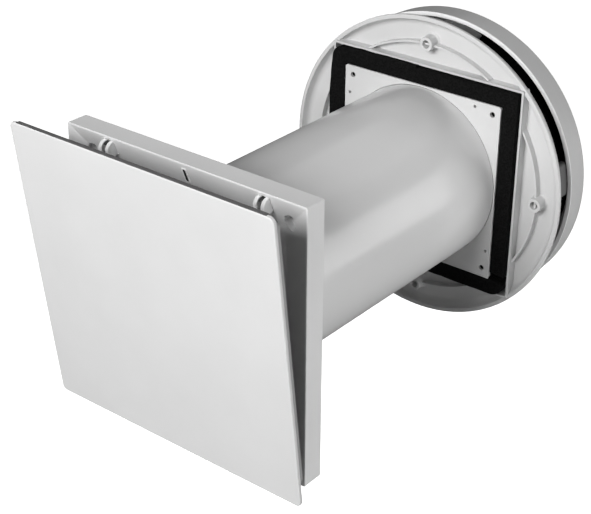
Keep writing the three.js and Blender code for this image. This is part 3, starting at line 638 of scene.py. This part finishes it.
def make_catches():
    for side, word in ((-1, "left"), (1, "right")):
        x = UPPER_SHIFT + side * CLIP_X
        make_cheek_pair("snap_catch_" + word, x, CATCH_Y, CATCH_Z, CATCH_R)
        make_cheek_pair("hinge_bracket_" + word, side * CLIP_X, HINGE.y, HINGE.z, 4.4, 1.8)
        bm = bmesh.new()
        outline_to_bmesh(bm, spring_outline(), x - 1.5, x + 1.5, bevel=0.2, plane="YZ")
        dress(finish_mesh("catch_spring_" + word, bm), "unit", "black_rubber", "catch_spring_" + word)


def on_slope(bm):
    """Turns a mesh drawn flat, with Y as depth, onto the dish's upper slope at the small window."""
    slope = math.atan2(DISH_FLOOR - FRAME_FRONT, DISH_RIM - DISH_FLOOR_HALF)
    place = Matrix.Translation((UPPER_SHIFT, dish_y(WINDOW_AT), WINDOW_AT)) @ Matrix.Rotation(slope, 4, "X")
    bmesh.ops.transform(bm, matrix=place, verts=bm.verts)


def make_window():
    bm = bmesh.new()
    slit = rectangle(-1.4, -5.9, 1.4, 5.9, 1.2)
    outline_to_bmesh(bm, rectangle(-2.6, -7, 2.6, 7, 1.4), -0.35, 0.9, [slit], 0.3)
    on_slope(bm)
    # The bezel gets the brighter catch_white as a painted highlight on its pale rim.
    dress(finish_mesh("window_bezel", bm), "unit", "catch_white", "window_bezel")
    bm = bmesh.new()
    outline_to_bmesh(bm, rectangle(-1.25, -5.7, 1.25, 5.7, 1.1), -0.1, 0.6, bevel=0.15)
    on_slope(bm)
    dress(finish_mesh("window_lens", bm), "unit", "black_plastic", "window_lens")


# ---------------------------------------------------------------- cover, drawn upright with the hinge axis at 0, 0, 0

COVER_HALF = 125.4
COVER_LOW, COVER_HIGH = -17.3, 233.5
TRAY_INSET, TRAY_TOP_INSET = 2.7, 6.5
REBATE_HALF = COVER_HALF - 6.5
STUD_Z = CATCH_Z - HINGE.z


def tray_ring(skin, y, radius=4.0):
    side = COVER_HALF - TRAY_INSET - skin
    return box_ring(-side, skin, side, COVER_HIGH - TRAY_TOP_INSET - skin, y, radius)


def make_cover():
    bm = bmesh.new()
    # Each pair is how far a ring lies inside the plate's outline, and its depth.
    edge = ((12, -13.5), (1.1, -13.5), (0.55, -13.38), (0.2, -13.1), (0, -12.6),
            (0, -10.9), (0.12, -10.6), (0.4, -10.5), (12, -10.5))
    plate = [box_ring(-COVER_HALF + i, COVER_LOW + i, COVER_HALF - i, COVER_HIGH - i, y, 5 - i) for i, y in edge]
    loft(bm, plate, closed=False)
    plate = finish_mesh("cover_plate", bm)
    # The rebate along the plate's top back edge holds a dark strip: painted shade for the shadow line behind the top
    # edge.
    tool = bmesh.new()
    outline_to_bmesh(tool, rectangle(-REBATE_HALF, COVER_HIGH - 2, REBATE_HALF, COVER_HIGH + 2), -12.8, -8, bevel=0.02)
    cut(plate, finish_mesh("cutter", tool))
    dress(place_on_cover(plate), "cover", "cover_white", "cover_plate")

    bm = bmesh.new()
    edge = COVER_HALF - TRAY_INSET + 1
    half = REBATE_HALF - 0.3
    outline_to_bmesh(bm, rectangle(-edge, -1, edge, COVER_HIGH - 1.7, 4), -10.2, -9.0, bevel=0.2)
    # This strip in the rebate is the seal's dark grey laid in as painted shade, the dark line behind the plate's top
    # edge.
    outline_to_bmesh(bm, rectangle(-half, COVER_HIGH - 1.7, half, COVER_HIGH - 0.1), -12.4, -9.0, bevel=0.25)
    dress(place_on_cover(finish_mesh("cover_seal", bm)), "cover", "dark_grey", "cover_seal")

    bm = bmesh.new()
    tray = [tray_ring(i, y) for i, y in ((0.3, -8.7), (0.08, -8.62), (0, -8.4), (0, -5.3), (0.1, -5.08), (0.3, -5.0),
                                         (1.1, -5.0), (1.3, -5.08), (1.4, -5.3), (1.4, -7.0), (1.7, -7.3))]
    loft(bm, tray, closed=False)
    dress(place_on_cover(finish_mesh("cover_tray", bm)), "cover", "light_grey", "cover_tray")

    for side, word in ((-1, "left"), (1, "right")):
        x = UPPER_SHIFT + side * CLIP_X
        bm = bmesh.new()
        tip = CATCH_Y - HINGE.y
        outline_to_bmesh(bm, headed(tip, STUD_Z, 3.0, -6.9, 2.4), x - 1.3, x + 1.3, bevel=0.4, steps=3, plane="YZ")
        outline_to_bmesh(bm, rectangle(x - 5, STUD_Z - 6, x + 5, STUD_Z + 6, 1.5), -7.0, -5.5, bevel=0.3)
        dress(place_on_cover(finish_mesh("snap_stud_" + word, bm)), "cover", "light_grey", "snap_stud_" + word)

        x = side * CLIP_X
        bm = bmesh.new()
        outline_to_bmesh(bm, ring_2d(4.2, 32), x - 1.5, x + 1.5, [ring_2d(1.8, 20)], 0.3, plane="YZ")
        outline_to_bmesh(bm, [(-7, 2.2), (0, 2.2), (2.4, 3.3), (-7, 10)], x - 1.5, x + 1.5, bevel=0.3, plane="YZ")
        outline_to_bmesh(bm, rectangle(1.9, -3.9, 6.4, -1.1), x - 1.5, x + 1.5, bevel=0.3, plane="YZ")
        outline_to_bmesh(bm, rectangle(x - 5, 1.7, x + 5, 13, 1.2), -7.0, -5.5, bevel=0.3)
        dress(place_on_cover(finish_mesh("hinge_arm_" + word, bm)), "cover", "light_grey", "hinge_arm_" + word)

        bm = bmesh.new()
        pin = [(x - 6.4, 1.2), (x - 6.1, 1.5), (x + 6.1, 1.5), (x + 6.4, 1.2)]
        turns = [math.tau * i / 24 for i in range(24)]
        loft(bm, [[(at, r * math.cos(t), r * math.sin(t)) for t in turns] for at, r in pin], closed=False)
        dress(place_on_cover(finish_mesh("hinge_pin_" + word, bm)), "cover", "steel", "hinge_pin_" + word)


# ---------------------------------------------------------------- wall tube, flange plate and gasket


TUBE_INNER_R, TUBE_R = 77, 79.5


def make_tube():
    bm = bmesh.new()
    wall = [(TUBE_INNER_R, -4), (TUBE_R, -4), (TUBE_R, 285), (TUBE_INNER_R, 285)]
    lathe(bm, rounded(wall, 0.5, 4), 192)
    dress(finish_mesh("wall_tube", bm), "unit", "tube_white", "wall_tube")
    bm = bmesh.new()
    seal = [(TUBE_INNER_R, -6.8), (TUBE_R, -6.8), (TUBE_R, -4.3), (TUBE_INNER_R, -4.3)]
    lathe(bm, rounded(seal, 0.5, 3))
    dress(finish_mesh("tube_seal", bm), "unit", "black_foam", "tube_seal")


def make_flange():
    bm = bmesh.new()
    holes = [ring_2d(79.8, 144)]
    # One small and one large hole in each corner.
    for x, z in ((55.5, 76), (76, -55.5), (-55.5, -76), (-76, 55.5)):
        holes.append(ring_2d(1.4, 20, x, z))
        holes.append(ring_2d(2.5, 24, math.copysign(73, x), math.copysign(73, z)))
    outline_to_bmesh(bm, rectangle(-81.25, -81.25, 81.25, 81.25, 2.5), 284.3, 287.3, holes, 0.3)
    outline_to_bmesh(bm, rectangle(80.0, -81.1, 81.2, 79, 0.4, 3), 283.7, 285, bevel=0.25)
    outline_to_bmesh(bm, rectangle(-78, -81.2, 81.1, -80.0, 0.4, 3), 283.7, 285, bevel=0.25)
    dress(finish_mesh("flange_plate", bm), "unit", "hood_white", "flange_plate")


def make_gasket():
    """A foam strip laid round the flange plate, its two ends meeting near the lower right corner."""
    inner = box_ring(-82.4, -81.6, 81.6, 81.6, 0, (0.5, 0.5, 2.0, 0.5))
    outer = box_ring(-96.1, -96.1, 96.1, 96.1, 0, (13, 1.0, 10.0, 2.0))
    width = 14.5
    # Where the strip stands out of the rib, its left side swells over it.
    section = rounded([(0, 284.4), (18, 284.4), (18, 288.7), (width, 289.1), (width, 298.7), (0, 298.7)], 0.9, 3)
    rails = [(Vector(near), Vector(far)) for near, far in zip(inner, outer)]
    # Left of step_at the upper side laps over the rib's front. Two close stations there keep the step crisp.
    step_at = -6
    after = next(i for i, (_, far) in enumerate(rails) if far.z > 95 and far.x <= step_at)
    (near_a, far_a), (near_b, far_b) = rails[after - 1], rails[after]
    shares = [(far_a.x - x) / (far_a.x - far_b.x) for x in (step_at + 0.3, step_at - 0.3)]
    rails[after:after] = [(near_a.lerp(near_b, share), far_a.lerp(far_b, share)) for share in shares]
    stations = []
    for k, (near, far) in enumerate(rails):
        wave = 0.28 * math.sin(k * 0.9) + 0.2 * math.sin(k * 2.3 + 1)
        swell = 0.03
        if far.z > 95 and -84 < far.x <= step_at:
            swell = max(swell, 0.4 * min(1, (far.x + 84) / 20))
        if far.x < -90:
            swell = max(swell, min(1.0, (86 - far.z) / 26, (92 + far.z) / 30))
        along = far - near
        ring = []
        for across, y in section:
            if across > width:
                across = width + (across - width) * swell
            share = across / width
            point = near + along * share * (1 - max(wave, 0) / along.length)
            ring.append((point.x, y + 0.15 * math.sin(k * 1.7) * (1 if y < 290 else 0), point.z))
        stations.append(ring)
    start = min(range(len(stations)), key=lambda i: (rails[i][1] - Vector((96.1, 0, -84.5))).length)
    stations = stations[start + 1:] + stations[:start + 1]
    bm = bmesh.new()
    gap = [tuple(Vector(a).lerp(Vector(b), 0.97)) for a, b in zip(stations[0], stations[-1])]
    loft(bm, stations + [gap], closed=False)
    # The sheet behind the flange plate, seen through the plate's holes.
    outline_to_bmesh(bm, rectangle(-82.2, -82.2, 82.2, 82.2, 1), 287.6, 290.6, [ring_2d(79.8, 96)], 0.2)
    dress(finish_mesh("foam_gasket", bm, 40), "unit", "black_foam", "foam_gasket", weighted=False)


# ---------------------------------------------------------------- outdoor hood

POSTS = [math.radians(8.5 + 72 * k) for k in range(5)]
POST_INNER_R, POST_OUTER_R = 125.2, 131.7  # they end inside the cap's rim, which runs past them unbroken
POST_SCREW_R = 128
BOSSES = ((117, 0), (0, 117), (-117, 0), (0, -117))
RIM_INNER_R, RIM_R = 131.9, 135.6


def arc_bar(inner, outer, angle, length, steps=10):
    """The outline of a bar with round ends that follows a circle."""
    end = (outer - inner) / 2
    middle = (inner + outer) / 2
    sweep = (length / 2 - end) / middle
    points = [(outer * math.cos(a), outer * math.sin(a))
              for a in [angle - sweep + 2 * sweep * k / steps for k in range(steps + 1)]]
    for way in (1, -1):
        tip = angle + way * sweep
        cx, cz = middle * math.cos(tip), middle * math.sin(tip)
        first = tip if way > 0 else tip + math.pi
        points += [(cx + end * math.cos(first + math.pi * k / 8), cz + end * math.sin(first + math.pi * k / 8))
                   for k in range(1, 8)]
        if way > 0:
            points += [(inner * math.cos(a), inner * math.sin(a))
                       for a in [angle + sweep - 2 * sweep * k / steps for k in range(steps + 1)]]
    return points


def make_hood_base():
    pan = [(76, 299), (132.9, 299), (136.4, 291.6), (140, 291.6),
           (140, 294.6), (138, 294.6), (135.8, 301.5), (76, 301.5)]
    bm = bmesh.new()
    lathe(bm, rounded(pan, [0.3, 6.0, 0.3, 0.6, 0.7, 0.5, 0.6, 0.3], 8), 216)
    shell = finish_mesh("hood_base_pan", bm)
    tool = bmesh.new()
    for x, z in BOSSES:
        lathe(tool, [(0.01, 296), (3.5, 296), (3.5, 304), (0.01, 304)], 32, x, z, False)
    cut(shell, finish_mesh("cutter", tool))
    dress(shell, "unit", "hood_white", "hood_base")

    bm = bmesh.new()
    rib, rib_inside = rectangle(-98.4, -98.4, 98.4, 98.4, 1.6), rectangle(-96.4, -96.4, 96.4, 96.4, 0.8)
    outline_to_bmesh(bm, rib, 289.3, 299.3, [rib_inside], 0.4)
    # The thin arcs run between the square rib's sides, through the bosses.
    reach = math.acos(98.0 / 116)
    for quarter in range(4):
        turn = quarter * math.pi / 2
        arcs = []
        for r, way in ((117, 1), (115, -1)):
            angles = [turn - way * reach * (1 - 2 * k / 40) for k in range(41)]
            arcs.append([(r * math.cos(a), r * math.sin(a)) for a in angles])
        outline_to_bmesh(bm, arcs[0] + arcs[1], 292.6, 299.3, bevel=0.4)
    dress(finish_mesh("hood_base_ribs", bm), "unit", "hood_white")

    bm = bmesh.new()
    wall = [(3.5, 288.5), (6.3, 288.5), (6.6, 297.6), (8.4, 299.2), (3.5, 299.2)]
    for x, z in BOSSES:
        lathe(bm, rounded(wall, [0.5, 0.6, 1.5, 0.2, 0], 4), 40, x, z)
    dress(finish_mesh("hood_base_bosses", bm), "unit", "hood_white")

    # The posts belong to the base's white moulding; their dark grey finish is painted shade, for they stand in shadow
    # under the cap's rim.
    bm = bmesh.new()
    for angle in POSTS:
        outline_to_bmesh(bm, arc_bar(POST_INNER_R, POST_OUTER_R, angle, 30), 301.2, 318.5, bevel=0.5)
        outline_to_bmesh(bm, arc_bar(POST_INNER_R, 130.6, angle, 12), 318.0, 342.6, bevel=0.3)
        tip = angle - 14.0 / 130.6
        at = POST_OUTER_R - 2
        peg = [(0.01, 301.2), (1.7, 301.2), (1.7, 318.6), (0.01, 318.6)]
        lathe(bm, peg, 20, at * math.cos(tip), at * math.sin(tip), False)
    dress(finish_mesh("hood_base_posts", bm), "unit", "dark_grey")


def make_hood_cover():
    bm = bmesh.new()
    shell = [(0, 342.9), (131.0, 342.9), (RIM_INNER_R, 319.8), (RIM_R, 319.8), (134.1, 345.6), (0, 345.6)]
    lathe(bm, rounded(shell, [0, 2.0, 0, 0, 3.0, 0], 6, closed=False), 216, closed=False)
    cover = finish_mesh("hood_cover", bm)
    tool = bmesh.new()
    for angle in POSTS:
        x, z = POST_SCREW_R * math.cos(angle), POST_SCREW_R * math.sin(angle)
        lathe(tool, [(0.01, 344.1), (3.6, 344.1), (3.6, 347), (0.01, 347)], 32, x, z, False)
    cut(cover, finish_mesh("cutter", tool))
    dress(cover, "unit", "hood_white", "hood_cover")
    # The rim's near face is a separate ring in the brighter catch_white: a painted highlight on the hood cover's own
    # white rim.
    bm = bmesh.new()
    edge = [(RIM_INNER_R, 319.7), (RIM_INNER_R, 318.8), (RIM_R, 318.8), (RIM_R, 319.7)]
    lathe(bm, rounded(edge, [0, 0.3, 0.4, 0], 4), 216)
    dress(finish_mesh("hood_cover_edge", bm), "unit", "catch_white")
    for index, angle in enumerate(POSTS):
        x, z = POST_SCREW_R * math.cos(angle), POST_SCREW_R * math.sin(angle)
        bm = bmesh.new()
        head = [(0, 344.4), (3.2, 344.4), (3.2, 344.9), (1.9, 345.4), (0, 345.4)]
        lathe(bm, rounded(head, [0, 0.15, 0.3, 0.6, 0], 4, False), 32, x, z, False)
        lathe(bm, [(0.01, 331), (1.2, 331), (1.2, 344.6), (0.01, 344.6)], 16, x, z, False)
        name = f"hood_screw_{index + 1}"
        screw = finish_mesh(name, bm)
        tool = bmesh.new()
        outline_to_bmesh(tool, rectangle(x - 1.7, z - 0.3, x + 1.7, z + 0.3), 344.8, 346, bevel=0.02)
        outline_to_bmesh(tool, rectangle(x - 0.3, z - 1.7, x + 0.3, z + 1.7), 344.8, 346, bevel=0.02)
        cut(screw, finish_mesh("cutter", tool))
        dress(screw, "unit", "steel", name)


def make_hood_inside():
    bm = bmesh.new()
    lining = [(0, 330.9), (118, 330.9), (118, 342.6), (0, 342.6)]
    lathe(bm, rounded(lining, [0, 1.5, 1.0, 0], 4, False), closed=False)
    dress(finish_mesh("hood_foam", bm), "unit", "black_foam", "hood_foam")
    bm = bmesh.new()
    for low, high in ((301.8, 304), (314.5, 315.7), (327.5, 328.7), (340.4, 342.6)):
        lathe(bm, rounded([(118.6, low), (120, low), (120, high), (118.6, high)], 0.25, 2), 180)
    bars = 180
    for k in range(bars):
        angle = math.tau * k / bars
        bar = arc_bar(118.7, 119.8, angle, 2.7, 2)
        outline_to_bmesh(bm, bar, 302.5, 342.0, bevel=0.02, steps=0)
    dress(finish_mesh("insect_screen", bm), "unit", "black_mesh", "insect_screen", weighted=False)


# ---------------------------------------------------------------- filter and terminals behind the cover


def make_filter():
    bm = bmesh.new()
    lathe(bm, rounded([(66.8, -9.5), (73.8, -9.5), (73.8, -4.5), (66.8, -4.5)], 0.6, 4))
    for at in (-44, -22, 0, 22, 44):
        reach = math.sqrt(70.8 ** 2 - at ** 2)
        outline_to_bmesh(bm, rectangle(at - 1, -reach, at + 1, reach), -9.4, -6.5, bevel=0.4)
    outline_to_bmesh(bm, rectangle(-70.8, -1, 70.8, 1), -9.4, -6.5, bevel=0.4)
    outline_to_bmesh(bm, rectangle(-9, -1.2, 9, 1.2, 0.8), -15.4, -8.5, bevel=0.5)
    dress(finish_mesh("filter_holder", bm), "unit", "light_grey", "filter_holder")
    bm = bmesh.new()
    lathe(bm, rounded([(0, -4.2), (73.7, -4.2), (73.7, 8), (0, 8)], [0, 2.0, 2.0, 0], 4, False), closed=False)
    dress(finish_mesh("room_filter", bm), "unit", "fleece", "room_filter")


def make_terminals():
    bm = bmesh.new()
    outline_to_bmesh(bm, rectangle(-12, -107, 12, -97, 0.6), -3.6, -0.5, bevel=0.3)
    body = finish_mesh("terminal_block", bm)
    tool = bmesh.new()
    for x in (-8, 0, 8):
        lathe(tool, [(0.01, -2.4), (2.2, -2.4), (2.2, 1), (0.01, 1)], 24, x, -101.2, False)
        outline_to_bmesh(tool, rectangle(x - 1.6, -108, x + 1.6, -104.8), -2.9, -1.2, bevel=0.05)
    cut(body, finish_mesh("cutter", tool))
    dress(body, "unit", "black_plastic", "terminal_block")


def dress_the_rest():
    """Carried-over CAD nodes keep their shape and get the finish of their slot."""
    slots = {entry["node"]: entry["material_slot"] for entry in frame["record"]["subparts"]}
    for name, node in frame["nodes"].items():
        node.data.materials.clear()
        node.data.materials.append(MATERIALS[slots[name]])


make_camera()
make_lights()
make_stage()
dress_the_rest()
make_room_frame()
make_frame_details()
make_catches()
make_window()
make_cover()
make_tube()
make_flange()
make_gasket()
make_hood_base()
make_hood_cover()
make_hood_inside()
make_filter()
make_terminals()
